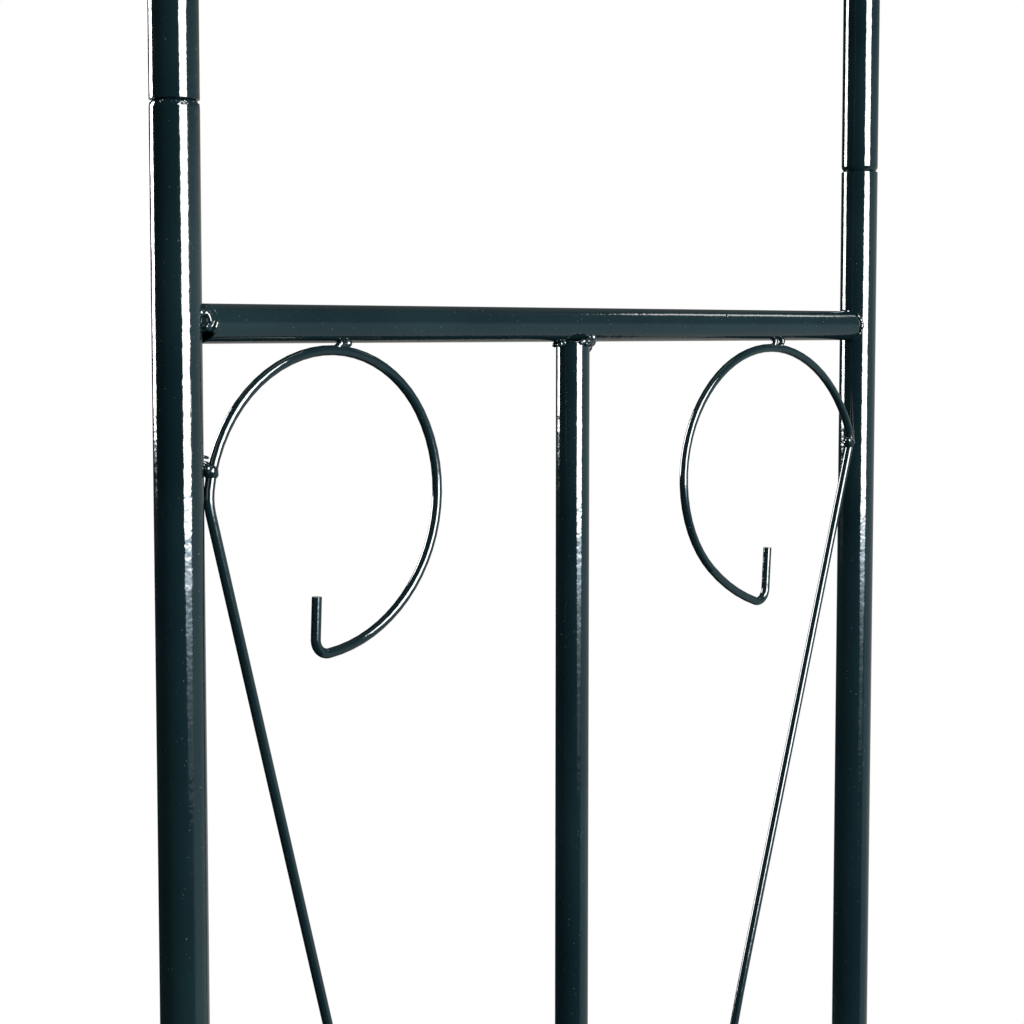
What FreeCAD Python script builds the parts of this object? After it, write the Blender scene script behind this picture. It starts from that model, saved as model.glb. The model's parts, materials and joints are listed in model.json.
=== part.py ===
import FreeCAD, Part
import Sketcher
import math
import os

from FreeCAD import Placement, Rotation, Vector

# A knock-down garden arch in thin powder-coated steel tube.
# Row frame: X spans the arch, Y runs the way a person walks through, Z is up,
# and the origin is on the ground under the middle of the arch.
# Each side stands on two legs and is a lower and an upper ladder section; the top
# is two quarter hoops.  The sections push together on swaged spigots, and the left
# half of the arch is the right half turned half a turn about Z.

doc = FreeCAD.newDocument("trellis_arch")
sheet = doc.addObject("Spreadsheet::Sheet", "sizes")

# Driving dimensions, in millimetres and degrees.
SIZES = {
    # tubes and bars
    "tube_radius": 8.0,
    "tube_wall": 1.0,
    "bar_radius": 6.5,
    "bar_wall": 1.0,
    "cope_depth": 1.0,
    "cope_clearance": 0.05,
    "centre_cope_depth": 0.25,
    "centre_tube_shift": 1.8,
    "notch_centre": 176.7,
    # sections: distance between the two uprights' axes, and the uprights' lengths
    "panel_spacing": 360.0,
    "lower_length": 746.3,
    "upper_length": 898.3,
    "bar_below_joint": 68.6,
    "bar_above_joint": 69.4,
    "bottom_bar_height": 150.0,
    # quarter hoops: straight foot run, bend to the tube's axis, straight crown run
    "hoop_stub": 189.0,
    "hoop_bend": 552.0,
    "hoop_turn": 90.0,
    "crown_run": 39.15,
    "rung_first_angle": 9.0,
    "rung_step_angle": 24.0,
    # push-fit joints: a tube's rim rests on the cone of the swage, joint_gap over its shoulder
    "spigot_radius": 6.7,
    "spigot_length": 35.0,
    "swage_length": 2.0,
    "shoulder_round": 2.0,
    "rim_round": 0.3,
    "joint_gap": 1.7,
    # foot plugs
    "plug_head": 3.0,
    "plug_round": 0.8,
    "plug_length": 16.0,
    "plug_radius": 6.9,
    "plug_wall": 1.6,
    # scroll wires, hand bent, so the two of a pair differ
    "wire_radius": 1.75,
    "wire_offset": 3.2,
    "hook_round": 5.2,
    "front_leg_angle": 14.3,
    "front_heel_inset": 9.95,
    "front_heel_drop": 61.5,
    "front_foot_run": 327.8,
    "front_knee_round": 800.0,
    "front_knee_turn": 2.4,
    "front_leg_run": 233.0,
    "front_heel_round": 21.7,
    "front_heel_turn": 21.1,
    "front_side_round": 50.9,
    "front_side_turn": 68.0,
    "front_top_round": 46.6,
    "front_top_turn": 73.5,
    "front_curl_round": 53.2,
    "front_curl_turn": 76.5,
    "front_tail_round": 54.2,
    "front_tail_turn": 40.0,
    "front_hook_turn": 97.5,
    "front_hook_run": 14.5,
    "back_leg_angle": 17.6,
    "back_heel_inset": 9.85,
    "back_heel_drop": 55.1,
    "back_foot_run": 339.9,
    "back_knee_round": 800.0,
    "back_knee_turn": -3.5,
    "back_leg_run": 225.0,
    "back_heel_round": 13.0,
    "back_heel_turn": 42.4,
    "back_side_round": 62.8,
    "back_side_turn": 48.9,
    "back_top_round": 56.2,
    "back_top_turn": 74.3,
    "back_curl_round": 50.4,
    "back_curl_turn": 81.2,
    "back_tail_round": 84.6,
    "back_tail_turn": 22.5,
    "back_hook_turn": 104.7,
    "back_hook_run": 17.7,
    # weld beads
    "bar_bead": 2.15,
    "notch_bead": 2.8,
    "notch_bead_spread": 5.5,
    "notch_bead_reach": 171.0,
    "notch_bead_rise": 1.5,
    "wire_bead": 2.7,
    "tack_bead": 2.3,
    "bead_spread": 7.8,
    "bead_inset": 2.2,
    "front_ball_drop": 47.0,
    "back_ball_drop": 52.2,
    "front_tack_inset": 62.6,
    "back_tack_inset": 61.2,
    "foot_bead_rise": 3.0,
}

for row, (alias, value) in enumerate(SIZES.items(), start=1):
    sheet.set("A%d" % row, alias.replace("_", " "))
    sheet.set("B%d" % row, str(value))
    sheet.setAlias("B%d" % row, alias)
doc.recompute()

RUNGS = 4
# Sketch geometry is drawn at about this size before its dimensions drive it.
START_SIZE = 9.0
# Edges are picked by radius and centre to within this distance.
NEAR = 0.01
# A quarter hoop's route from its foot, and the same route from its crown.
FROM_FOOT = [("run", "hoop_stub"), ("arc", "hoop_bend", "hoop_turn"), ("run", "crown_run")]
FROM_CROWN = list(reversed(FROM_FOOT))
X_AXIS = Vector(1, 0, 0)
Y_AXIS = Vector(0, 1, 0)
Z_AXIS = Vector(0, 0, 1)


def size(alias):
    """The sheet's value for one alias."""
    return float(getattr(sheet, alias))


def at(x=0.0, y=0.0, z=0.0, axis=Z_AXIS, turn=0.0):
    """A placement at a point, turned about an axis by so many degrees."""
    return Placement(Vector(x, y, z), Rotation(axis, turn))


# ------------------------------------------------------------ sketches and features

def new_body(label):
    body = doc.addObject("PartDesign::Body", label)
    body.Label = label
    return body


def new_sketch(body, role, name):
    """A sketch on one of the body's own origin planes."""
    plane = [face for face in body.Origin.OriginFeatures if face.Role == role][0]
    sketch = body.newObject("Sketcher::SketchObject", name)
    sketch.AttachmentSupport = (plane, [""])
    sketch.MapMode = "FlatFace"
    return sketch


def bind(sketch, constraint, name, expression):
    """Adds a dimension to a sketch and drives it from the sheet."""
    sketch.renameConstraint(sketch.addConstraint(constraint), name)
    sketch.setExpression("Constraints." + name, expression)


def add_circle(sketch, name, radius, height=None):
    """A circle on the sketch's upright axis, at its origin or at a given height."""
    index = sketch.addGeometry(Part.Circle(Vector(0, 0, 0), Z_AXIS, START_SIZE), False)
    bind(sketch, Sketcher.Constraint("Radius", index, START_SIZE), name + "_radius", radius)
    if height is None:
        sketch.addConstraint(Sketcher.Constraint("Coincident", index, 3, -1, 1))
    else:
        sketch.addConstraint(Sketcher.Constraint("PointOnObject", index, 3, -2))
        place = Sketcher.Constraint("DistanceY", -1, 1, index, 3, START_SIZE)
        bind(sketch, place, name + "_y", height)


def add_ring(sketch, outer, wall):
    """A tube's section: two circles about the sketch origin."""
    add_circle(sketch, "outer", outer)
    add_circle(sketch, "inner", "%s - %s" % (outer, wall))


def add_outline(sketch, corners):
    """A closed outline whose corners are (radius, height) pairs of expressions.

    It is drawn as a small regular polygon first; its dimensions then pull it to shape.
    """
    count = len(corners)
    centre = Vector(START_SIZE, START_SIZE, 0)
    rough = [turned(centre + X_AXIS, centre, 2 * math.pi * n / count) for n in range(count)]
    for n in range(count):
        sketch.addGeometry(Part.LineSegment(rough[n], rough[(n + 1) % count]), False)
    for n in range(count):
        sketch.addConstraint(Sketcher.Constraint("Coincident", n, 2, (n + 1) % count, 1))
    for n, (radius, height) in enumerate(corners):
        across = Sketcher.Constraint("DistanceX", -1, 1, n, 1, START_SIZE)
        up = Sketcher.Constraint("DistanceY", -1, 1, n, 1, START_SIZE)
        bind(sketch, across, "r%d" % n, radius)
        bind(sketch, up, "z%d" % n, height)


def turned(point, centre, angle):
    """A point turned anticlockwise about a centre, in the sketch's plane."""
    arm = point - centre
    across = arm.x * math.cos(angle) - arm.y * math.sin(angle)
    up = arm.x * math.sin(angle) + arm.y * math.cos(angle)
    return centre + Vector(across, up, 0)


def walk(legs):
    """The pieces of a tangent route that starts upward from the sketch's origin.

    A leg is ("run", length) or ("arc", radius, turn), by their aliases; a positive
    turn bends to the right.  Gives the pieces, the last point and its heading.
    """
    pieces = []
    point = Vector(0, 0, 0)
    heading = 0.0
    for leg in legs:
        ahead = Vector(math.sin(heading), math.cos(heading), 0)
        if leg[0] == "run":
            end = point + ahead * size(leg[1])
            pieces.append(Part.LineSegment(point, end))
        else:
            turn = math.radians(size(leg[2]))
            right = Vector(ahead.y, -ahead.x, 0)
            centre = point + right * math.copysign(size(leg[1]), turn)
            end = turned(point, centre, -turn)
            pieces.append(Part.Arc(point, turned(point, centre, -turn / 2), end))
            heading += turn
        point = end
    return pieces, point, heading


def add_route(sketch, legs):
    """Draws a route, with its runs and bends driven from the sheet."""
    pieces = walk(legs)[0]
    starts = []
    for piece, leg in zip(pieces, legs):
        index = sketch.addGeometry(piece, False)
        clockwise = leg[0] == "arc" and size(leg[2]) > 0
        starts.append((index, 2 if clockwise else 1, 1 if clockwise else 2))
    first = starts[0]
    sketch.addConstraint(Sketcher.Constraint("Coincident", first[0], first[1], -1, 1))
    sketch.addConstraint(Sketcher.Constraint("Vertical", first[0]))
    for before, after in zip(starts, starts[1:]):
        joint = Sketcher.Constraint("Tangent", before[0], before[2], after[0], after[1])
        sketch.addConstraint(joint)
    for n, leg in enumerate(legs):
        kind = "Distance" if leg[0] == "run" else "Radius"
        bind(sketch, Sketcher.Constraint(kind, n, size(leg[1])), "reach%d" % n, "sizes." + leg[1])
        if leg[0] == "arc":
            turn = math.radians(abs(size(leg[2])))
            bind(sketch, Sketcher.Constraint("Angle", n, turn), "turn%d" % n,
                 "abs(sizes.%s) * 1 deg" % leg[2])


def revolve(body, sketch):
    feature = body.newObject("PartDesign::Revolution", "Turned")
    feature.Profile = sketch
    feature.ReferenceAxis = (sketch, ["V_Axis"])
    feature.Angle = 360.0


def pad(body, sketch, length):
    """Pads a section to both sides of its sketch plane."""
    feature = body.newObject("PartDesign::Pad", "Pad")
    feature.Profile = sketch
    feature.Midplane = True
    feature.setExpression("Length", length)


def cut_through(body, sketch):
    feature = body.newObject("PartDesign::Pocket", "Cope")
    feature.Profile = sketch
    feature.Type = "ThroughAll"
    feature.Midplane = True


def pipe(body, section, spine):
    feature = body.newObject("PartDesign::AdditivePipe", "Pipe")
    feature.Profile = section
    feature.Spine = (spine, ["Edge%d" % (n + 1) for n in range(len(spine.Geometry))])
    feature.Mode = "Standard"


def round_rims(body, radius, places):
    """Rounds the full-width end edges whose centres are at the given places."""
    doc.recompute()
    wide = size("tube_radius")
    names = []
    for n, edge in enumerate(body.Tip.Shape.Edges):
        curve = edge.Curve
        if isinstance(curve, Part.Circle) and abs(curve.Radius - wide) < NEAR:
            if any((curve.Center - place).Length < NEAR for place in places):
                names.append("Edge%d" % (n + 1))
    base = body.Tip
    feature = body.newObject("PartDesign::Fillet", "Round")
    feature.Base = (base, names)
    feature.setExpression("Radius", radius)


# ------------------------------------------------------------ sub-parts

def upright(label, length, spigot, where):
    """A tube standing from its local origin, plain or with a swaged spigot on top."""
    body = new_body(label)
    sketch = new_sketch(body, "XZ_Plane", "Section")
    outer = "sizes.tube_radius"
    inner = "sizes.tube_radius - sizes.tube_wall"
    top = "sizes." + length
    rims = [(outer, top), (inner, top)]
    if spigot:
        rims = spigot_outline(top)
    add_outline(sketch, [(inner, "0"), (outer, "0")] + rims)
    revolve(body, sketch)
    high = "sizes.shoulder_round" if spigot else "sizes.rim_round"
    round_rims(body, high, [Z_AXIS * size(length)])
    round_rims(body, "sizes.rim_round", [Vector(0, 0, 0)])
    body.Placement = where
    return body


def spigot_outline(start):
    """A tube necked down past a height: shoulder, cone, spigot, and back down the bore."""
    neck = "sizes.spigot_radius"
    bore = "sizes.spigot_radius - sizes.tube_wall"
    cone = start + " + sizes.swage_length"
    tip = start + " + sizes.spigot_length"
    return [("sizes.tube_radius", start), (neck, cone), (neck, tip), (bore, tip),
            (bore, cone), ("sizes.tube_radius - sizes.tube_wall", start)]


def hoop(label, legs, where):
    """A quarter hoop along a route, with a swaged spigot behind its local origin."""
    body = new_body(label)
    spine = new_sketch(body, "XZ_Plane", "Bend")
    add_route(spine, legs)
    section = new_sketch(body, "XY_Plane", "Section")
    add_ring(section, "sizes.tube_radius", "sizes.tube_wall")
    pipe(body, section, spine)
    add_spigot(body)
    round_rims(body, "sizes.shoulder_round", [Vector(0, 0, 0)])
    far_end = walk(legs)[1]
    round_rims(body, "sizes.rim_round", [Vector(far_end.x, 0, far_end.y)])
    body.Placement = where
    return body


def add_spigot(body):
    """Necks a tube down behind its local origin: its sketch hangs upside down."""
    sketch = new_sketch(body, "XZ_Plane", "Spigot")
    sketch.AttachmentOffset = at(axis=X_AXIS, turn=180)
    add_outline(sketch, spigot_outline("0"))
    revolve(body, sketch)


def crossbar(label, where, misnotched=False):
    """A bar lying along Y about its middle, both ends coped to fit the uprights.

    On a misnotched bar the front end was notched a quarter turn off, so only its top
    and bottom lips reach the upright, and each face has a half-moon gap.
    """
    body = new_body(label)
    section = new_sketch(body, "XZ_Plane", "Section")
    add_ring(section, "sizes.bar_radius", "sizes.bar_wall")
    pad(body, section, "sizes.panel_spacing - 2 * (sizes.tube_radius - sizes.cope_depth)")
    copes = new_sketch(body, "XY_Plane", "Copes")
    for name, place in (("front", "-sizes.panel_spacing / 2"), ("back", "sizes.panel_spacing / 2")):
        add_circle(copes, name, "sizes.tube_radius + sizes.cope_clearance", place)
    cut_through(body, copes)
    if misnotched:
        notch = new_sketch(body, "YZ_Plane", "Notch")
        notch.AttachmentOffset = at(turn=-90)
        add_circle(notch, "front", "sizes.tube_radius + sizes.cope_clearance", "-sizes.notch_centre")
        cut_through(body, notch)
    body.Placement = where
    return body


def centre_tube(label, span, where):
    """A tube standing about its middle, its ends butted between two crossbars."""
    body = new_body(label)
    section = new_sketch(body, "XY_Plane", "Section")
    add_ring(section, "sizes.bar_radius", "sizes.bar_wall")
    pad(body, section, "%s - 2 * (sizes.bar_radius - sizes.centre_cope_depth)" % span)
    copes = new_sketch(body, "XZ_Plane", "Copes")
    for name, place in (("top", "(%s) / 2" % span), ("bottom", "-(%s) / 2" % span)):
        add_circle(copes, name, "sizes.bar_radius + sizes.cope_clearance", place)
    cut_through(body, copes)
    body.Placement = where
    return body


def foot_plug(label, where):
    """A plastic plug that closes a leg: a flat head and a hollow stem."""
    body = new_body(label)
    sketch = new_sketch(body, "XZ_Plane", "Section")
    stem = "sizes.plug_radius"
    core = "sizes.plug_radius - sizes.plug_wall"
    roof = "sizes.plug_head"
    top = "sizes.plug_length"
    add_outline(sketch, [("0", "0"), ("sizes.tube_radius", "0"), ("sizes.tube_radius", roof),
                         (stem, roof), (stem, top), (core, top), (core, roof), ("0", roof)])
    revolve(body, sketch)
    round_rims(body, "sizes.plug_round", [Vector(0, 0, 0)])
    body.Placement = where
    return body


def scroll_legs(end):
    """A scroll wire's route: leg from the centre tube, heel, loop, tail and hook."""
    names = ["foot_run", "knee_round knee_turn", "leg_run", "heel_round heel_turn",
             "side_round side_turn", "top_round top_turn", "curl_round curl_turn",
             "tail_round tail_turn", "hook_round hook_turn", "hook_run"]
    legs = []
    for name in names:
        aliases = [end + "_" + word for word in name.split()]
        if aliases[0].endswith("_run"):
            legs.append(("run", aliases[0]))
        elif "hook" in name:
            legs.append(("arc", "hook_round", aliases[1]))
        else:
            legs.append(("arc", aliases[0], aliases[1]))
    return legs


def scroll_wire(label, end, heel_height, panel):
    """A wire bent in one plane, set so that its heel lies against the upright."""
    body = new_body(label)
    legs = scroll_legs(end)
    spine = new_sketch(body, "YZ_Plane", "Bend")
    add_route(spine, legs)
    section = new_sketch(body, "XY_Plane", "Section")
    add_circle(section, "wire", "sizes.wire_radius")
    pipe(body, section, spine)
    body.Placement = panel.multiply(scroll_place(end, heel_height))
    return body


def scroll_place(end, heel_height):
    """Where the wire's foot goes, so that the top of its straight leg meets the heel."""
    side = -1 if end == "front" else 1
    lean = size(end + "_leg_angle") + size(end + "_knee_turn")
    reach = walk(scroll_legs(end)[:3])[1]
    tilt = Rotation(X_AXIS, -side * lean)
    if side > 0:
        tilt = tilt.multiply(Rotation(Z_AXIS, 180))
    leg = tilt.multVec(Vector(0, reach.x, reach.y))
    heel = Vector(size("wire_offset"), 0, heel_height)
    heel.y = side * (size("panel_spacing") / 2 - size(end + "_heel_inset"))
    return Placement(heel - leg, tilt)


def bar_end_spots(where, misnotched=False):
    """The four weld spots of a crossbar: both faces of both coped ends."""
    reach = size("panel_spacing") / 2 - size("tube_radius") + size("bead_inset")
    spread = size("bead_spread")
    spots = []
    for face in (-1, 1):
        front = (face * spread, -reach, 0)
        bead = "bar_bead"
        if misnotched:
            front = (face * size("notch_bead_spread"), -size("notch_bead_reach"), size("notch_bead_rise"))
            bead = "notch_bead"
        spots.append((where.multiply(at(*front)), bead))
        spots.append((where.multiply(at(face * spread, reach, 0)), "bar_bead"))
    return spots


def centre_tube_spots(where, length):
    """The four weld spots of a centre tube: both sides, under and over the bars."""
    side = size("bead_spread")
    rise = length / 2 - side
    return [(where.multiply(at(0, y, z)), "bar_bead")
            for y in (-side, side) for z in (-rise, rise)]


def scroll_spots(end, panel, bar_height):
    """The three weld spots of a scroll wire: at its heel, its top and its foot."""
    side = -1 if end == "front" else 1
    offset = size("wire_offset")
    wall = size("panel_spacing") / 2
    ball = Vector(offset, side * (wall - size("tube_radius") - size("wire_radius")), bar_height)
    ball.z -= size(end + "_ball_drop")
    tack = Vector(offset, side * (wall - size(end + "_tack_inset")), bar_height)
    tack.z -= size("bar_radius") + size("wire_radius") / 2
    heel_height = bar_height - size(end + "_heel_drop")
    foot = Vector(scroll_place(end, heel_height).Base)
    foot.z += size("foot_bead_rise")
    spots = ((ball, "wire_bead"), (tack, "tack_bead"), (foot, "tack_bead"))
    return [(panel.multiply(Placement(spot, Rotation())), bead) for spot, bead in spots]


def welds(label, spots, members):
    """A section's weld beads: separate beads, hollowed to fit what they join."""
    beads = []
    for n, (place, radius) in enumerate(spots):
        bead = doc.addObject("Part::Sphere", "%s_bead_%d" % (label, n))
        bead.setExpression("Radius", "sizes." + radius)
        bead.Placement = place
        beads.append(bead)
    group = doc.addObject("Part::Compound", label + "_beads")
    group.Links = beads
    joined = doc.addObject("Part::Compound", label + "_members")
    joined.Links = members
    cut = doc.addObject("Part::Cut", label)
    cut.Label = label
    cut.Base = group
    cut.Tool = joined
    return cut


# ------------------------------------------------------------ sections

def ladder(name, panel, heights, span, misnotched=()):
    """Two crossbars and the centre tube between them; gives parts and weld spots."""
    bottom, top = heights
    middle = panel.multiply(at(0, -size("centre_tube_shift"), (bottom + top) / 2))
    bars = {"bottom": panel.multiply(at(0, 0, bottom)), "top": panel.multiply(at(0, 0, top))}
    made = [crossbar("%s_%s_crossbar" % (name, key), where, key in misnotched)
            for key, where in bars.items()]
    made.append(centre_tube(name + "_centre_tube", span, middle))
    spots = centre_tube_spots(middle, top - bottom)
    for key, where in bars.items():
        spots += bar_end_spots(where, key in misnotched)
    return made, spots


def lower_section(name, panel, ends):
    """Two legs on foot plugs, the front one swaged on top, and their ladder."""
    front, back = side_places(panel)
    base = at(0, 0, size("plug_head"))
    legs = [upright("%s_%s_upright" % (name, ends[0]), "lower_length", True, front.multiply(base)),
            upright("%s_%s_upright" % (name, ends[1]), "lower_length", False, back.multiply(base))]
    top = size("plug_head") + size("lower_length") - size("bar_below_joint")
    span = "(sizes.plug_head + sizes.lower_length - sizes.bar_below_joint - sizes.bottom_bar_height)"
    made, spots = ladder(name, panel, (size("bottom_bar_height"), top), span)
    plugs = [foot_plug("%s_%s_foot_plug" % (name, end), where)
             for end, where in zip(ends, (front, back))]
    made = legs + made
    return made + plugs + [welds(name + "_welds", spots, made)]


def upper_section(name, panel, ends):
    """Two uprights swaged at opposite ends, their ladder and the two scroll wires."""
    front, back = side_places(panel)
    foot = size("plug_head") + size("lower_length") + size("joint_gap")
    head = foot + size("upper_length")
    turned_over = at(0, 0, head, X_AXIS, 180)
    uprights = [upright("%s_%s_upright" % (name, ends[0]), "upper_length", True,
                        front.multiply(at(0, 0, foot))),
                upright("%s_%s_upright" % (name, ends[1]), "upper_length", True,
                        back.multiply(turned_over))]
    bottom = foot + size("bar_above_joint")
    top = head - size("bar_below_joint")
    span = "(sizes.upper_length - sizes.bar_below_joint - sizes.bar_above_joint)"
    made, spots = ladder(name, panel, (bottom, top), span, misnotched=("top",))
    made = uprights + made
    for end, actual in zip(("front", "back"), ends):
        heel_height = top - size(end + "_heel_drop")
        made.append(scroll_wire("%s_%s_scroll" % (name, actual), end, heel_height, panel))
        spots += scroll_spots(end, panel, top)
    return made + [welds(name + "_welds", spots, made)]


def arch_half(name, panel, ends):
    """Two quarter hoops swaged at opposite ends, and the rungs between them."""
    front, back = side_places(panel)
    foot = size("plug_head") + size("lower_length") + size("upper_length")
    foot += 2 * size("joint_gap")
    inward = at(0, 0, foot, Z_AXIS, 180)
    reach = size("hoop_bend") + size("crown_run")
    crown = at(-reach, 0, foot + size("hoop_stub") + size("hoop_bend"), Y_AXIS, 90)
    made = [hoop("%s_%s_hoop" % (name, ends[0]), FROM_CROWN, front.multiply(crown)),
            hoop("%s_%s_hoop" % (name, ends[1]), FROM_FOOT, back.multiply(inward))]
    spots = []
    for n in range(RUNGS):
        angle = size("rung_first_angle") + n * size("rung_step_angle")
        reach = size("hoop_bend") * math.cos(math.radians(angle)) - size("hoop_bend")
        rise = size("hoop_bend") * math.sin(math.radians(angle)) + size("hoop_stub")
        where = panel.multiply(at(reach, 0, foot + rise, Y_AXIS, -angle))
        made.append(crossbar("%s_rung_%d" % (name, n + 1), where))
        spots += bar_end_spots(where)
    return made + [welds(name + "_welds", spots, made)]


def side_places(panel):
    """The axes of a section's two uprights, on the ground."""
    half = size("panel_spacing") / 2
    return panel.multiply(at(0, -half, 0)), panel.multiply(at(0, half, 0))


def check_and_write(nodes):
    """Stops on any failed feature or shape, then writes one file per sub-part."""
    for thing in doc.Objects:
        if "Invalid" in thing.State or "Error" in thing.State:
            raise RuntimeError("feature failed: " + thing.Name)
    for node in nodes:
        if node.Shape.isNull() or not node.Shape.isValid():
            raise RuntimeError("bad shape: " + node.Label)
    os.makedirs("parts", exist_ok=True)
    for node in nodes:
        node.Shape.exportStep("parts/%s.step" % node.Label)
        print("%-28s %9.0f mm3  %d solids" % (node.Label, node.Shape.Volume, len(node.Shape.Solids)))


half_span = size("hoop_bend") + size("crown_run") + size("joint_gap") / 2
SIDES = {
    "right": (at(half_span, 0, 0), ("front", "back")),
    "left": (at(-half_span, 0, 0, Z_AXIS, 180), ("back", "front")),
}
nodes = []
for side, (panel, ends) in SIDES.items():
    nodes += lower_section(side + "_lower", panel, ends)
    nodes += upper_section(side + "_upper", panel, ends)
    nodes += arch_half(side + "_arch", panel, ends)
doc.recompute()
check_and_write(nodes)
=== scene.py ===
import json
import math
import random

import bmesh
import bpy
from mathutils import Matrix, Vector, noise


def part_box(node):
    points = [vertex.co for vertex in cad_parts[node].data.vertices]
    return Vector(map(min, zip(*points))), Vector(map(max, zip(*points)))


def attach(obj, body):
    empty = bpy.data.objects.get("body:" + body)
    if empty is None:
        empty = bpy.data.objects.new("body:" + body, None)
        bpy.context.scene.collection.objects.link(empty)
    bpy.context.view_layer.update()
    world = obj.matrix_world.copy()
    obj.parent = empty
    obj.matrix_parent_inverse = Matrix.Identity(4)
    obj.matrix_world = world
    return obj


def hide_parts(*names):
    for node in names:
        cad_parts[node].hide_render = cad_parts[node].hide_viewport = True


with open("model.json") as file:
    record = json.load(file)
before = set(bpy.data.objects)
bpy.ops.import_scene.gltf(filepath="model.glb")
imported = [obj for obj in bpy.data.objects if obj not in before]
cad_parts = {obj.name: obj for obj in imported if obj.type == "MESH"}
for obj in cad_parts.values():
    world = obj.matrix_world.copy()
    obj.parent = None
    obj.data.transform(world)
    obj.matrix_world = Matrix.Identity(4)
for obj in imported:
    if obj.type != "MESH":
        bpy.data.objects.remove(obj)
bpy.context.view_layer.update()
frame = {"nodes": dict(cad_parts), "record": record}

# A powder-coated tube arch.  The CAD tubes, bars, wires and plugs are shown as they are,
# with procedural coats; the plain weld beads of the CAD are replaced by lumpy hand welds.

NODES = frame["nodes"]
SIDES = {"right": ("front", "back"), "left": ("back", "front")}
MM = 0.001


# ------------------------------------------------------------ places, from the frame

def middle(name):
    """The middle of a CAD node's box."""
    low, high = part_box(name)
    return (low + high) / 2


def widths(name):
    """The three sides of a CAD node's box."""
    low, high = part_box(name)
    return high - low


UPRIGHT = middle("right_upper_front_upright")
TOP_BAR = middle("right_upper_top_crossbar")
HALF_SPAN = UPRIGHT.x
HALF_DEPTH = -UPRIGHT.y
TUBE_RADIUS = widths("right_lower_front_upright").x / 2
BAR_RADIUS = widths("right_upper_top_crossbar").z / 2
BAR_REACH = widths("right_upper_bottom_crossbar").y / 2
WIRE_OFFSET = middle("right_upper_front_scroll").x - HALF_SPAN


def panel(side):
    """A side's own frame: x outward, y along it with the front scroll at -y, z up."""
    turn = 0 if side == "right" else math.pi
    return Matrix.Rotation(turn, 4, "Z") @ Matrix.Translation((HALF_SPAN, 0, 0))


def in_panel(side, name):
    """The middle of a CAD node in its side's own frame."""
    return panel(side).inverted() @ middle(name)


# ------------------------------------------------------------ shader helpers

def shader(name):
    """A new material with an empty Principled shader wired to its output."""
    material = bpy.data.materials.new(name)
    material.use_nodes = True
    tree = material.node_tree
    tree.nodes.clear()
    output = tree.nodes.new("ShaderNodeOutputMaterial")
    surface = tree.nodes.new("ShaderNodeBsdfPrincipled")
    tree.links.new(surface.outputs["BSDF"], output.inputs["Surface"])
    return material, tree, surface


def node(tree, kind, **inputs):
    """A shader node with some of its inputs set."""
    made = tree.nodes.new(kind)
    for key, value in inputs.items():
        made.inputs[key.replace("_", " ")].default_value = value
    return made


def feed(tree, value, socket):
    """Gives a socket its value: another node's output, a plain colour or a number."""
    if isinstance(value, bpy.types.NodeSocket):
        tree.links.new(value, socket)
    elif isinstance(value, tuple):
        socket.default_value = (*value, 1.0)
    else:
        socket.default_value = value


def position(tree):
    """The point's place in the row frame."""
    return tree.nodes.new("ShaderNodeTexCoord").outputs["Object"]


def cloud(tree, scale, detail=2.0, roughness=0.5):
    """A noise value; scale is in features per metre."""
    made = node(tree, "ShaderNodeTexNoise", Scale=scale, Detail=detail, Roughness=roughness)
    tree.links.new(position(tree), made.inputs["Vector"])
    return made.outputs["Fac"]


def ramp(tree, value, stops):
    """Maps a value through stops of (place, grey or colour)."""
    made = tree.nodes.new("ShaderNodeValToRGB")
    elements = made.color_ramp.elements
    while len(elements) < len(stops):
        elements.new(0.5)
    for element, (place, colour) in zip(elements, stops):
        element.position = place
        shade = colour if isinstance(colour, tuple) else (colour, colour, colour)
        element.color = (*shade, 1.0)
    tree.links.new(value, made.inputs["Fac"])
    return made.outputs["Color"]


def mix(tree, factor, first, second):
    """Mixes two colours by a factor; each is a socket or a plain colour."""
    made = tree.nodes.new("ShaderNodeMix")
    made.data_type = "RGBA"
    for value, index in ((factor, 0), (first, 6), (second, 7)):
        feed(tree, value, made.inputs[index])
    return made.outputs[2]


def arithmetic(tree, operation, first, second):
    """One sum of two values; each is a socket or a number."""
    made = tree.nodes.new("ShaderNodeMath")
    made.operation = operation
    for value, socket in zip((first, second), made.inputs):
        feed(tree, value, socket)
    return made.outputs[0]


def vector_step(tree, operation, source, other=None):
    """One operation on a vector, with a second fixed vector where it needs one."""
    made = tree.nodes.new("ShaderNodeVectorMath")
    made.operation = operation
    tree.links.new(source, made.inputs[0])
    if other is not None:
        made.inputs[1].default_value = other
    return made.outputs


def blend(tree, factor, first, second):
    """Blends two shaders by a factor."""
    made = tree.nodes.new("ShaderNodeMixShader")
    for source, socket in zip((factor, first, second), made.inputs):
        tree.links.new(source, socket)
    return made.outputs[0]


def bump(tree, height, distance, normal=None):
    """Bumps a surface by a height map; distance is in metres."""
    made = node(tree, "ShaderNodeBump", Strength=1.0, Distance=distance)
    tree.links.new(height, made.inputs["Height"])
    if normal is not None:
        tree.links.new(normal, made.inputs["Normal"])
    return made.outputs["Normal"]


# ------------------------------------------------------------ materials

DEEP_GREEN = (0.0013, 0.0046, 0.0058)
SOFT_GREEN = (0.0026, 0.0075, 0.0088)
DUST = (0.10, 0.12, 0.12)
DUST_SHARE = 0.3
DUST_EDGE = 0.05
GLOSS = 0.05
DULLED = 0.12
COAT_IOR = 1.55
BLACK = (0.012, 0.012, 0.013)
WORN_BLACK = (0.022, 0.022, 0.023)


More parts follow.
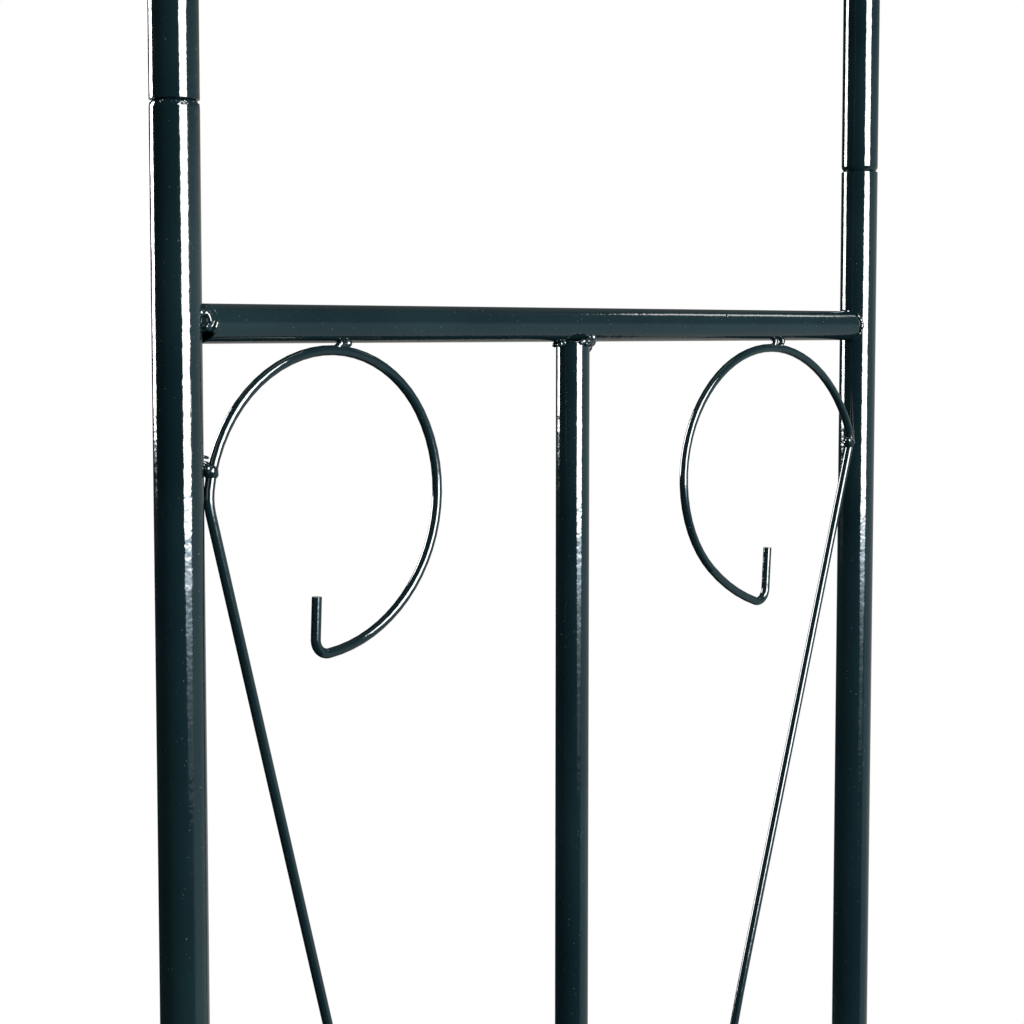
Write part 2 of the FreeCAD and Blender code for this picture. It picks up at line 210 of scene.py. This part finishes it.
def powder_coat(name, peel, wave, dust_start):
    """Gloss dark green powder coat: orange peel, slow waves, colour drift, fine dust."""
    material, tree, surface = shader(name)
    drift = ramp(tree, cloud(tree, scale=18.0, detail=3.0), [(0.35, 0.0), (0.75, 1.0)])
    base = mix(tree, drift, DEEP_GREEN, SOFT_GREEN)
    specks = [(dust_start, 0.0), (dust_start + DUST_EDGE, DUST_SHARE)]
    dust = ramp(tree, cloud(tree, scale=1500.0, detail=0.0), specks)
    colour = mix(tree, dust, base, DUST)
    tree.links.new(colour, surface.inputs["Base Color"])
    rough = ramp(tree, cloud(tree, scale=70.0, detail=3.0), [(0.35, GLOSS), (0.8, DULLED)])
    tree.links.new(rough, surface.inputs["Roughness"])
    surface.inputs["IOR"].default_value = COAT_IOR
    waves = bump(tree, cloud(tree, scale=120.0, detail=0.0), wave)
    skin = bump(tree, cloud(tree, scale=420.0, detail=1.0), peel, waves)
    tree.links.new(skin, surface.inputs["Normal"])
    return material


def moulded_plastic(name, grain):
    """Satin black plastic with a fine moulded grain."""
    material, tree, surface = shader(name)
    shades = ramp(tree, cloud(tree, scale=90.0, detail=3.0), [(0.3, BLACK), (0.7, WORN_BLACK)])
    tree.links.new(shades, surface.inputs["Base Color"])
    rough = ramp(tree, cloud(tree, scale=300.0), [(0.3, 0.42), (0.7, 0.55)])
    tree.links.new(rough, surface.inputs["Roughness"])
    tree.links.new(bump(tree, cloud(tree, scale=1500.0), grain), surface.inputs["Normal"])
    return material


MATERIALS = {
    "coated_tube": powder_coat("coated_tube", peel=0.00005, wave=0.00006, dust_start=0.82),
    "coated_wire": powder_coat("coated_wire", peel=0.00004, wave=0.00005, dust_start=0.84),
    "coated_weld": powder_coat("coated_weld", peel=0.00003, wave=0.00005, dust_start=0.84),
    "black_plastic": moulded_plastic("black_plastic", grain=0.00002),
}


def paint(piece, slot):
    """Gives a piece the material of its slot."""
    piece.data.materials.clear()
    piece.data.materials.append(MATERIALS[slot])


# ------------------------------------------------------------ heaps of weld

VOXEL = 0.3 * MM
SOFTENING = 5
RIPPLE = 0.07 * MM
RIPPLE_SCALE = 600.0


def ball(balls, place, centre, radius, stretch=(1, 1, 1)):
    """Adds a ball to a heap of balls, stretched in the given frame."""
    size = Matrix.Diagonal((*(radius * s for s in stretch), 1))
    balls.append(place @ Matrix.Translation(centre) @ size)


def heap(name, balls):
    """A mesh of all the balls of a heap."""
    pattern = bmesh.new()
    bmesh.ops.create_icosphere(pattern, subdivisions=2, radius=1.0)
    points = [vertex.co.copy() for vertex in pattern.verts]
    faces = [[vertex.index for vertex in face.verts] for face in pattern.faces]
    pattern.free()
    corners = [where @ point for where in balls for point in points]
    count = len(points)
    sides = [[n * count + index for index in face] for n in range(len(balls)) for face in faces]
    mesh = bpy.data.meshes.new(name)
    mesh.from_pydata(corners, [], sides)
    return mesh


def melted(piece):
    """A heap's balls run together into one softened, rippled skin."""
    remesh = piece.modifiers.new("skin", "REMESH")
    remesh.mode = "VOXEL"
    remesh.voxel_size = VOXEL
    soften = piece.modifiers.new("soften", "SMOOTH")
    soften.iterations = SOFTENING
    graph = bpy.context.evaluated_depsgraph_get()
    skin = bpy.data.meshes.new_from_object(piece.evaluated_get(graph))
    piece.modifiers.clear()
    rippled = [vertex.co + vertex.normal * noise.noise(vertex.co * RIPPLE_SCALE) * RIPPLE
               for vertex in skin.vertices]
    skin.vertices.foreach_set("co", [value for point in rippled for value in point])
    for polygon in skin.polygons:
        polygon.use_smooth = True
    return skin


def finished(unit, body, balls):
    """Puts a heap in the model in place of the CAD welds of its unit."""
    name = unit + "_weld_beads"
    piece = bpy.data.objects.new(name, heap(name, balls))
    bpy.context.scene.collection.objects.link(piece)
    piece.data = melted(piece)
    paint(piece, "coated_weld")
    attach(piece, body)
    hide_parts(unit + "_welds")


# ------------------------------------------------------------ welds of the crossbars

THICK = 1.75 * MM
THIN = 1.05 * MM
# where the welds of a bar start and stop, in degrees from outward to up
STARTS = (52, 70)
STOPS = (-65, -15)
CLOSED_RUN = (84, -78)
BALL_SIZES = (0.8, 1.15)
BALL_SPACING = 0.8
BALL_SHIFT = 0.25
FLATTENED = (1, 1, 0.9)
CRATER_CHANCE = 0.6
CRATER_RADIUS = 2.0 * MM
CRATER_LIFT = 0.9 * MM
CRATER_BALLS = 7
CRATER_SIZES = (0.42, 0.58)
CRATER_SQUEEZE = 0.75
CRATER_SET_BACK = 0.5
CRATER_LOWERED = 8


def fallen_back(out):
    """The distance from the panel's middle to an upright's skin, so far outward."""
    return HALF_DEPTH - math.sqrt(TUBE_RADIUS ** 2 - out ** 2)


def bulge(up):
    """How far out a bar's face is at a height over its axis."""
    return math.sqrt(BAR_RADIUS ** 2 - up ** 2)


def saddle(angle):
    """A point of the seam where a bar's end meets an upright: (out, along, up).

    The angle goes round the bar from outward to up; along is half way between the
    bar's end and the upright's skin, which has fallen back from it there.
    """
    out = BAR_RADIUS * math.cos(angle)
    return out, (fallen_back(out) + BAR_REACH) / 2, BAR_RADIUS * math.sin(angle)


def seam(balls, place, end, face, start, stop, thick, draw):
    """A run of small balls along a bar's end, from one angle to another in degrees."""
    length = math.radians(abs(stop - start)) * BAR_RADIUS
    count = max(2, round(length / (BALL_SPACING * thick)))
    for n in range(count + 1):
        angle = math.radians(start + (stop - start) * n / count)
        out, along, up = saddle(angle)
        size = thick * draw.uniform(*BALL_SIZES)
        shift = draw.uniform(-BALL_SHIFT, BALL_SHIFT) * thick
        ball(balls, place, (face * out, end * (along + shift), up), size, FLATTENED)


def crater(balls, place, end, face, angle, draw):
    """The ring that a weld leaves where it stops, round a small hollow."""
    out, along, up = saddle(math.radians(angle))
    for n in range(CRATER_BALLS):
        turn = 2 * math.pi * n / CRATER_BALLS
        y = along + CRATER_RADIUS * (CRATER_SQUEEZE * math.cos(turn) - CRATER_SET_BACK)
        z = up + CRATER_RADIUS * math.sin(turn)
        size = CRATER_RADIUS * draw.uniform(*CRATER_SIZES)
        ball(balls, place, (face * (out + CRATER_LIFT), end * y, z), size)


def bar_welds(balls, place, draw, misnotched=False):
    """The welds of one crossbar: a run on both faces of both ends."""
    for end in (-1, 1):
        for face in (-1, 1):
            start = draw.uniform(*STARTS)
            stop = draw.uniform(*STOPS)
            thick = draw.uniform(THIN, THICK)
            ends_in_crater = draw.random() < CRATER_CHANCE
            if misnotched and end < 0:
                notch_weld(balls, place, face, draw)
            elif misnotched and face > 0:
                seam(balls, place, end, face, *CLOSED_RUN, THIN, draw)
            else:
                seam(balls, place, end, face, start, stop, thick, draw)
                if ends_in_crater:
                    crater(balls, place, end, face, (start + stop) / 2 - CRATER_LOWERED, draw)


# The gap at a misnotched end.  Insets are distances from the upright's axis.
NOTCH_INSET = 3.3 * MM
FILL_ROWS = 6
FILL_TOP = 4.6 * MM
FILL_ROW_STEP = 1.1 * MM
FILL_COLUMNS = 8
FILL_RADIUS = 1.9 * MM
FILL_SLOPE = 5.5 * MM
FILL_LEVEL_FROM = 0.55
ARC_ANGLES = range(-2, 84, 5)
ARC_INSET = 6.5 * MM
ARC_HEIGHT = 0.9 * MM
ARC_HALF_WIDTH = 1.9 * MM
ARC_HALF_HEIGHT = 2.9 * MM
ARC_SUNK = 0.4 * MM
ARC_RADII = (1.1 * MM, 1.25 * MM)
# (inset, height over the bar's axis, radius) in millimetres
DROPS = ((5.3, 3.4, 1.5), (7.0, -1.0, 0.9), (10.8, 0.1, 1.1), (10.4, -1.1, 1.1), (9.9, -2.3, 0.9))
DROP_SUNK = 0.2 * MM


def notch_weld(balls, place, face, draw):
    """The weld over the upper half of the gap: a sloping fill, a raised arc and drops."""
    for row in range(FILL_ROWS):
        up = FILL_TOP - row * FILL_ROW_STEP
        out = bulge(up)
        skin = fallen_back(out)
        edge = HALF_DEPTH - NOTCH_INSET - math.sqrt(TUBE_RADIUS ** 2 - up ** 2)
        for column in range(FILL_COLUMNS):
            share = column / (FILL_COLUMNS - 1)
            along = skin + share * (edge - skin)
            deep = FILL_RADIUS + FILL_SLOPE * max(0.0, FILL_LEVEL_FROM - share)
            ball(balls, place, (face * (out - deep), -along, up), FILL_RADIUS)
    for angle in ARC_ANGLES:
        turn = math.radians(angle)
        along = HALF_DEPTH - ARC_INSET - ARC_HALF_WIDTH * math.cos(turn)
        up = ARC_HEIGHT + ARC_HALF_HEIGHT * math.sin(turn)
        ball(balls, place, (face * (bulge(up) - ARC_SUNK), -along, up), draw.uniform(*ARC_RADII))
    for inset, height, radius in DROPS:
        up = height * MM
        centre = (face * (bulge(up) - DROP_SUNK), inset * MM - HALF_DEPTH, up)
        ball(balls, place, centre, radius * MM)


SPATTER_RADIUS = 0.75 * MM
SPATTER_SUNK = 0.2 * MM
SPATTER_WIDTH = 0.8


def spatter(balls, place, along, angle, length):
    """A short raised drip lying round the face of a bar, so many degrees above level."""
    turned = place @ Matrix.Rotation(math.radians(-angle), 4, "Y")
    centre = (BAR_RADIUS - SPATTER_SUNK, along, 0)
    ball(balls, turned, centre, SPATTER_RADIUS, (1, SPATTER_WIDTH, length))


# ------------------------------------------------------------ welds of the centre tubes

RIM_ANGLES = range(-105, 30, 7)
RIM_RADII = (0.42 * MM, 0.6 * MM)
# (along the bar, past the tube's rim, radius) in millimetres, each ball twice, side by side
GUSSET = ((7.2, 0.5, 2.0), (8.6, 0.1, 1.9), (9.9, -0.4, 1.4), (7.2, 2.2, 1.6), (6.9, 3.6, 1.1))
NUB = ((-6.7, 0.6, 1.3), (-7.9, 0.8, 1.3), (-8.6, 1.2, 1.0))
TWIN_SPACING = 1.3
TWIN_SPREAD = (0.92, 1.08)
# (outward, along the bar, past the tube's rim) in millimetres
FILLET = ((2.6, 6.2, -0.2), (3.6, 5.2, -0.9), (4.3, 4.2, -1.6), (3.4, 7.6, -0.8), (4.4, 6.6, -1.7))
FILLET_RADIUS = 1.5 * MM
FILLET_SPREAD = (0.9, 1.1)
COLLAR_BALLS = 7
COLLAR_START = 50
COLLAR_STEP = 11
COLLAR_SUNK = 0.2
COLLAR_WAVE = 0.5
COLLAR_WAVE_TURN = 2.4
COLLAR_RADIUS = 1.75
COLLAR_TAPER = 0.12


def on_tube(angle, height):
    """A point on a centre tube's skin, so many degrees from outward."""
    turn = math.radians(angle)
    return BAR_RADIUS * math.cos(turn), BAR_RADIUS * math.sin(turn), height


def tube_welds(balls, place, rise, draw):
    """The welds of a centre tube's end under (rise > 0) or over a bar, in its own frame."""
    rim = rise - math.copysign(BAR_RADIUS, rise)
    down = -math.copysign(1, rise)
    for angle in RIM_ANGLES:
        x, y, z = on_tube(angle, rim)
        for face in (-1, 1):
            ball(balls, place, (face * x, face * y, z), draw.uniform(*RIM_RADII))
    for y, drop, radius in GUSSET + NUB:
        for x in (-TWIN_SPACING, TWIN_SPACING):
            centre = (x * MM, y * MM, rim + down * drop * MM)
            ball(balls, place, centre, radius * MM * draw.uniform(*TWIN_SPREAD))
    for x, y, drop in FILLET:
        centre = (x * MM, y * MM, rim + down * drop * MM)
        ball(balls, place, centre, FILLET_RADIUS * draw.uniform(*FILLET_SPREAD))
    for step in range(COLLAR_BALLS):
        lift = (COLLAR_WAVE * math.cos(step * COLLAR_WAVE_TURN) - COLLAR_SUNK) * MM
        centre = on_tube(COLLAR_START - COLLAR_STEP * step, rim - down * lift)
        ball(balls, place, centre, (COLLAR_RADIUS - COLLAR_TAPER * step) * MM)


# ------------------------------------------------------------ welds of the scroll wires

BALL_RADIUS = 2.75 * MM
BALL_INSET = 1.9 * MM
LUMPS = 4
LUMP_RADIUS = 1.6 * MM
LUMP_REACH = 1.1
LUMP_OUT = (0.2, 1.0)
LUMP_ALONG = (-0.8, 0.8)
LUMP_UP = (-1.0, 0.6)
FRONT_LUMP = Vector((1.1, -1.9, 1.0)) * MM
TIE_RISES = (3.1, 4.9)
TIE_BALLS = 4
TIE_START = 0.4
TIE_STEP = 0.55
TIE_FALL = 0.15
TIE_BACK = 0.6 * MM
TIE_RADIUS = 0.62 * MM

TACK_BALLS = 4
TACK_JITTER = 0.3
TACK_TOP = 0.1
TACK_HEIGHT = 2.3
TACK_RADIUS = 1.5
TACK_WAIST = 0.8

FOOT_BALLS = 6
FOOT_START = 1.2
FOOT_LEAN = 0.25
FOOT_STEP = 1.1 * MM
FOOT_BACK = 1.2 * MM
FOOT_INSET = 7.8 * MM
FOOT_RADII = (1.1, 1.5)

# The two designs of an upper section: (way along the panel, number in SIDES, drop of the
# ball under the bar's axis, the tack's inset from the upright's axis, how far the tack
# leans, where its legs stand), in millimetres.
SCROLLS = ((-1, 0, 47.5, 63.0, 2.6, (-2.4, -0.8, 0.8)),
           (1, 1, 52.2, 61.2, 0.5, (-2.2, 2.2)))
# (along the bar, degrees above level, length) of the drips on an upper section's top bar
DRIPS = ((-HALF_DEPTH + 11.6 * MM, 0, 2.2), (83.0 * MM, 36, 1.3))


def wire_ball(balls, place, way, height, draw):
    """The big tack that holds a scroll's heel to the upright, with two ties over it."""
    wall = HALF_DEPTH - TUBE_RADIUS
    centre = Vector((WIRE_OFFSET, way * (wall - BALL_INSET), height))
    ball(balls, place, centre, BALL_RADIUS)
    for _ in range(LUMPS):
        push = Vector((draw.uniform(*LUMP_OUT), draw.uniform(*LUMP_ALONG), draw.uniform(*LUMP_UP)))
        ball(balls, place, centre + push * LUMP_REACH * MM, LUMP_RADIUS)
    ball(balls, place, centre + FRONT_LUMP, LUMP_RADIUS)
    for rise in TIE_RISES:
        for step in range(TIE_BALLS):
            y = way * (wall + (TIE_START - step * TIE_STEP) * MM)
            z = height + (rise - TIE_FALL * step) * MM
            ball(balls, place, (WIRE_OFFSET - TIE_BACK, y, z), TIE_RADIUS)


def wire_tack(balls, place, y, under, lean, legs, draw):
    """The tack between the top of a scroll and the underside of the crossbar."""
    for leg in legs:
        for step in range(TACK_BALLS):
            share = step / (TACK_BALLS - 1)
            centre = (WIRE_OFFSET + draw.uniform(-TACK_JITTER, TACK_JITTER) * MM,
                      y + (leg + lean * (1 - share)) * MM,
                      under - (TACK_TOP + share * TACK_HEIGHT) * MM)
            ball(balls, place, centre, (TACK_RADIUS - TACK_WAIST * share * (1 - share)) * MM)


def wire_foot(balls, place, way, along, height, draw):
    """The short weld that holds a scroll's foot along the centre tube."""
    for step in range(FOOT_BALLS):
        y = along + way * (step * FOOT_LEAN - FOOT_START) * MM
        centre = (WIRE_OFFSET - FOOT_BACK, y, height + step * FOOT_STEP)
        ball(balls, place, centre, draw.uniform(*FOOT_RADII) * MM)


def scroll_welds(balls, place, side, draw):
    """The drips on the top bar, and the ball, tack and foot weld of both scroll wires."""
    bar = middle(side + "_upper_top_crossbar").z
    tube = in_panel(side, side + "_upper_centre_tube")
    for along, angle, length in DRIPS:
        spatter(balls, place @ Matrix.Translation((0, 0, bar)), along, angle, length)
    for way, number, drop, inset, lean, legs in SCROLLS:
        wire_ball(balls, place, way, bar - drop * MM, draw)
        wire_tack(balls, place, way * (HALF_DEPTH - inset * MM), bar - BAR_RADIUS, lean, legs, draw)
        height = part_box("%s_upper_%s_scroll" % (side, SIDES[side][number]))[0].z
        wire_foot(balls, place, way, tube.y + way * FOOT_INSET, height, draw)


# ------------------------------------------------------------ welds of whole sections

SPIGOT_LENGTH = 35.0 * MM
PAINT_BLOBS = 26
PAINT_RADII = (0.3, 0.6)
PAINT_SUNK = 0.15 * MM
PAINT_RISE = (0.3, 0.8)
SPREAD_OUT = (1.3, 1.3, 1)
RUNGS = range(1, 5)
SEED = 7


def joint_paint(balls, place, shoulder, draw):
    """Blobs of coat caught in the groove of a push-fit joint, on the cone of its swage."""
    for _ in range(PAINT_BLOBS):
        turn = draw.uniform(-math.pi, math.pi)
        size = draw.uniform(*PAINT_RADII) * MM
        reach = TUBE_RADIUS - PAINT_SUNK - size
        height = shoulder + draw.uniform(*PAINT_RISE) * MM
        ball(balls, place, (reach * math.cos(turn), reach * math.sin(turn), height), size, SPREAD_OUT)


def ladder_welds(side, section, draw):
    """All the welds of a lower or upper section."""
    balls = []
    name = "%s_%s" % (side, section)
    place = panel(side)
    tube = in_panel(side, name + "_centre_tube")
    for bar in ("bottom", "top"):
        height = middle("%s_%s_crossbar" % (name, bar)).z
        misnotched = (section, bar) == ("upper", "top")
        bar_welds(balls, place @ Matrix.Translation((0, 0, height)), draw, misnotched)
        tube_welds(balls, place @ Matrix.Translation(tube), height - tube.z, draw)
    spigot_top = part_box("%s_%s_upright" % (name, SIDES[side][0]))[1].z
    upright = place @ Matrix.Translation((0, -HALF_DEPTH, 0))
    joint_paint(balls, upright, spigot_top - SPIGOT_LENGTH, draw)
    if section == "upper":
        scroll_welds(balls, place, side, draw)
    return balls


def rung_welds(side, draw):
    """All the welds of an arch half; each rung is turned with the bend of the hoops."""
    balls = []
    place = panel(side)
    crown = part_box(side + "_arch_front_hoop")[1].z - TUBE_RADIUS
    for n in RUNGS:
        rung = in_panel(side, "%s_arch_rung_%d" % (side, n))
        drop = crown - rung.z
        bend = drop - rung.x + math.sqrt(-2 * drop * rung.x)
        tilt = math.atan2(bend - drop, bend + rung.x)
        turned = Matrix.Translation(rung) @ Matrix.Rotation(-tilt, 4, "Y")
        bar_welds(balls, place @ turned, draw)
    return balls


def add_welds():
    """One heap of welds for each of the six sections."""
    draw = random.Random(SEED)
    for side in SIDES:
        for section in ("lower", "upper"):
            unit = "%s_%s" % (side, section)
            finished(unit, unit + "_section", ladder_welds(side, section, draw))
        unit = side + "_arch"
        finished(unit, unit + "_half", rung_welds(side, draw))


# ------------------------------------------------------------ floor

FLOOR_RADIUS = 2.0
FLOOR_GREY = (0.31, 0.31, 0.31, 1.0)
FLOOR_ROUGHNESS = 0.6
FLOOR_DROP = 0.2 * MM
# shares of the floor's radius, and how far it has faded to white there
FLOOR_FADE = [(0.25, 0.0), (0.45, 0.12), (0.75, 0.75), (0.97, 1.0)]


def floor():
    """A pale disc that fades into the white backdrop before its edge."""
    bpy.ops.mesh.primitive_circle_add(vertices=128, radius=FLOOR_RADIUS, fill_type="NGON")
    disc = bpy.context.object
    disc.name = "floor"
    disc.location.z = -FLOOR_DROP
    disc.visible_glossy = False
    disc.data.materials.append(pale_floor())


def pale_floor():
    """Matt grey that turns into plain white away from the middle."""
    material, tree, surface = shader("pale_floor")
    surface.inputs["Base Color"].default_value = FLOOR_GREY
    surface.inputs["Roughness"].default_value = FLOOR_ROUGHNESS
    glow = node(tree, "ShaderNodeEmission", Strength=1.0)
    away = vector_step(tree, "LENGTH", position(tree))["Value"]
    fade = ramp(tree, arithmetic(tree, "DIVIDE", away, FLOOR_RADIUS), FLOOR_FADE)
    final = blend(tree, fade, surface.outputs["BSDF"], glow.outputs["Emission"])
    output = [item for item in tree.nodes if item.type == "OUTPUT_MATERIAL"][0]
    tree.links.new(final, output.inputs["Surface"])
    return material


# ------------------------------------------------------------ lights

WHITE = (1, 1, 1)
COOL = (0.72, 0.88, 1.0)
# how much narrower each level of a standing softbox is than the one above it
NARROWER = 0.92
# the levels of the standing softboxes: (lower edge, upper edge, radiance)
OUTER_AZIMUTH = math.radians(2)
OUTER_AWAY = 1.7
OUTER_WIDTH = 1.06
OUTER_LEVELS = ((1.32, 3.0, 29.0), (1.27, 1.32, 12.0), (1.22, 1.27, 5.5), (1.17, 1.22, 2.6),
                (1.11, 1.17, 1.3), (1.0, 1.11, 0.6))
INNER_AZIMUTH = math.radians(-158)
INNER_AWAY = 4.0
INNER_WIDTH = 1.55
INNER_LEVELS = ((1.34, 4.0, 29.0), (1.25, 1.34, 1.5))
OVERHEAD = Vector((HALF_SPAN + 0.17, 1.71, 2.89))
OVERHEAD_WIDTH = 0.40
OVERHEAD_LENGTH = 0.38
OVERHEAD_RADIANCE = 4.5
# a hair off the axis, so that it isn't straight over its target
CEILING = Vector((0, 0.01, 4.5))
CEILING_WIDTH = 5.0
CEILING_RADIANCE = 1.4


def softbox(name, centre, target, width, height, radiance, colour=WHITE):
    """A rectangular area light that faces a point, hidden from the camera itself."""
    light = bpy.data.lights.new(name, "AREA")
    light.shape = "RECTANGLE"
    light.size = width
    light.size_y = height
    light.energy = radiance * math.pi * width * height
    light.color = colour
    lamp = bpy.data.objects.new(name, light)
    bpy.context.scene.collection.objects.link(lamp)
    lamp.visible_camera = False
    lamp.location = centre
    lamp.rotation_euler = (target - lamp.location).to_track_quat("-Z", "Y").to_euler()
    return lamp


def standing_softbox(name, azimuth, away, width, levels):
    """A softbox that stands off the right side of the arch; its foot fades and cools."""
    offset = Vector((math.cos(azimuth), math.sin(azimuth), 0)) * away
    for number, (low, high, radiance) in enumerate(levels, start=1):
        target = Vector((HALF_SPAN, 0, (low + high) / 2))
        colour = WHITE if number == 1 else COOL
        label = "%s_%d" % (name, number)
        softbox(label, target + offset, target, width, high - low, radiance, colour)
        width *= NARROWER


def lights():
    """Softboxes outside the right side, beyond its far side and overhead, and a soft fill."""
    standing_softbox("outer_softbox", OUTER_AZIMUTH, OUTER_AWAY, OUTER_WIDTH, OUTER_LEVELS)
    standing_softbox("inner_softbox", INNER_AZIMUTH, INNER_AWAY, INNER_WIDTH, INNER_LEVELS)
    softbox("overhead_softbox", OVERHEAD, TOP_BAR, OVERHEAD_WIDTH, OVERHEAD_LENGTH,
            OVERHEAD_RADIANCE)
    ceiling = softbox("ceiling_fill", CEILING, Vector(), CEILING_WIDTH, CEILING_WIDTH,
                      CEILING_RADIANCE)
    ceiling.visible_glossy = False


# ------------------------------------------------------------ backdrop

AMBIENT = 0.24
SLATE_AZIMUTH = math.radians(83)
GREY_AZIMUTH = math.radians(147)
SLATE_WALL = (0.36, 0.49, 0.53)
GREY_WALL = (0.52, 0.52, 0.49)
DARK_WALL = (0.012, 0.014, 0.015)
# stops by height: 0 is straight down, 0.5 level and 1 straight up
WALL_BY_HEIGHT = [(0.0, 1.0), (0.53, 1.0), (0.60, 0.28), (1.0, 0.20)]
FLOOR_EDGE = [(0.152, 0.0), (0.160, 1.0)]
# stops by the cosine of the angle from a wall's azimuth
WALL_EDGE = [(0.30, 0.0), (0.50, 1.0)]
SLATE_TO_GREY = [(0.0, 0.0), (0.6, 1.0)]
OPEN_FLOOR_EDGE = [(0.30, 1.0), (0.40, 0.0)]


def backdrop():
    """White to the camera; to the coats a dark studio with a pale sweep on one side."""
    world = bpy.data.worlds.new("studio")
    bpy.context.scene.world = world
    world.use_nodes = True
    tree = world.node_tree
    tree.nodes.clear()
    output = tree.nodes.new("ShaderNodeOutputWorld")
    rays = tree.nodes.new("ShaderNodeLightPath")
    seen = node(tree, "ShaderNodeBackground", Color=(1, 1, 1, 1), Strength=1.0)
    ambient = node(tree, "ShaderNodeBackground", Color=(1, 1, 1, 1), Strength=AMBIENT)
    mirrored = node(tree, "ShaderNodeBackground", Strength=1.0)
    tree.links.new(sweep(tree), mirrored.inputs["Color"])
    shaded = blend(tree, rays.outputs["Is Glossy Ray"], ambient.outputs[0], mirrored.outputs[0])
    final = blend(tree, rays.outputs["Is Camera Ray"], shaded, seen.outputs[0])
    tree.links.new(final, output.inputs["Surface"])


def toward(tree, heading, azimuth):
    """How far a level heading points toward an azimuth: the cosine of the angle between."""
    way = (math.cos(azimuth), math.sin(azimuth), 0)
    return vector_step(tree, "DOT_PRODUCT", heading, way)["Value"]


def sweep(tree):
    """The studio's colour by direction: slate on one side, dim overhead, dark elsewhere."""
    direction = tree.nodes.new("ShaderNodeTexCoord").outputs["Generated"]
    parts = tree.nodes.new("ShaderNodeSeparateXYZ")
    tree.links.new(direction, parts.inputs[0])
    level = vector_step(tree, "MULTIPLY", direction, (1, 1, 0))["Vector"]
    heading = vector_step(tree, "NORMALIZE", level)["Vector"]
    height = arithmetic(tree, "ADD", arithmetic(tree, "MULTIPLY", parts.outputs["Z"], 0.5), 0.5)
    past_slate = ramp(tree, toward(tree, heading, GREY_AZIMUTH), SLATE_TO_GREY)
    wall = mix(tree, past_slate, SLATE_WALL, GREY_WALL)
    fade = ramp(tree, height, WALL_BY_HEIGHT)
    side = ramp(tree, toward(tree, heading, SLATE_AZIMUTH), WALL_EDGE)
    over_floor = ramp(tree, height, FLOOR_EDGE)
    open_floor = ramp(tree, toward(tree, heading, GREY_AZIMUTH), OPEN_FLOOR_EDGE)
    shown = arithmetic(tree, "MAXIMUM", over_floor, open_floor)
    shade = arithmetic(tree, "MULTIPLY", arithmetic(tree, "MULTIPLY", fade, side), shown)
    return mix(tree, shade, DARK_WALL, wall)


# ------------------------------------------------------------ camera

SENSOR = 36.0
LENS = 65.1
SHIFT = -0.06
NEAREST = 0.01
CAMERA_OFFSET = Vector((0.5027, -0.3264, 0))
CAMERA_UNDER_BAR = 2.3 * MM
VIEW_AZIMUTH = math.radians(136.77)
VIEW_PITCH = math.radians(3.70)


def camera():
    """A camera outside the right side, level with its top bar, looking in a little downward."""
    data = bpy.data.cameras.new("camera")
    data.sensor_width = SENSOR
    data.lens = LENS
    data.shift_y = SHIFT
    data.clip_start = NEAREST
    cam = bpy.data.objects.new("camera", data)
    bpy.context.scene.collection.objects.link(cam)
    cam.location = UPRIGHT + CAMERA_OFFSET
    cam.location.z = TOP_BAR.z - CAMERA_UNDER_BAR
    ahead = Vector((math.cos(VIEW_AZIMUTH), math.sin(VIEW_AZIMUTH), 0)) * math.cos(VIEW_PITCH)
    ahead.z = -math.sin(VIEW_PITCH)
    cam.rotation_euler = ahead.to_track_quat("-Z", "Y").to_euler()
    bpy.context.scene.camera = cam


for part in frame["record"]["subparts"]:
    paint(NODES[part["node"]], part["material_slot"])
add_welds()
floor()
lights()
backdrop()
camera()
bpy.context.scene.view_settings.view_transform = "Standard"
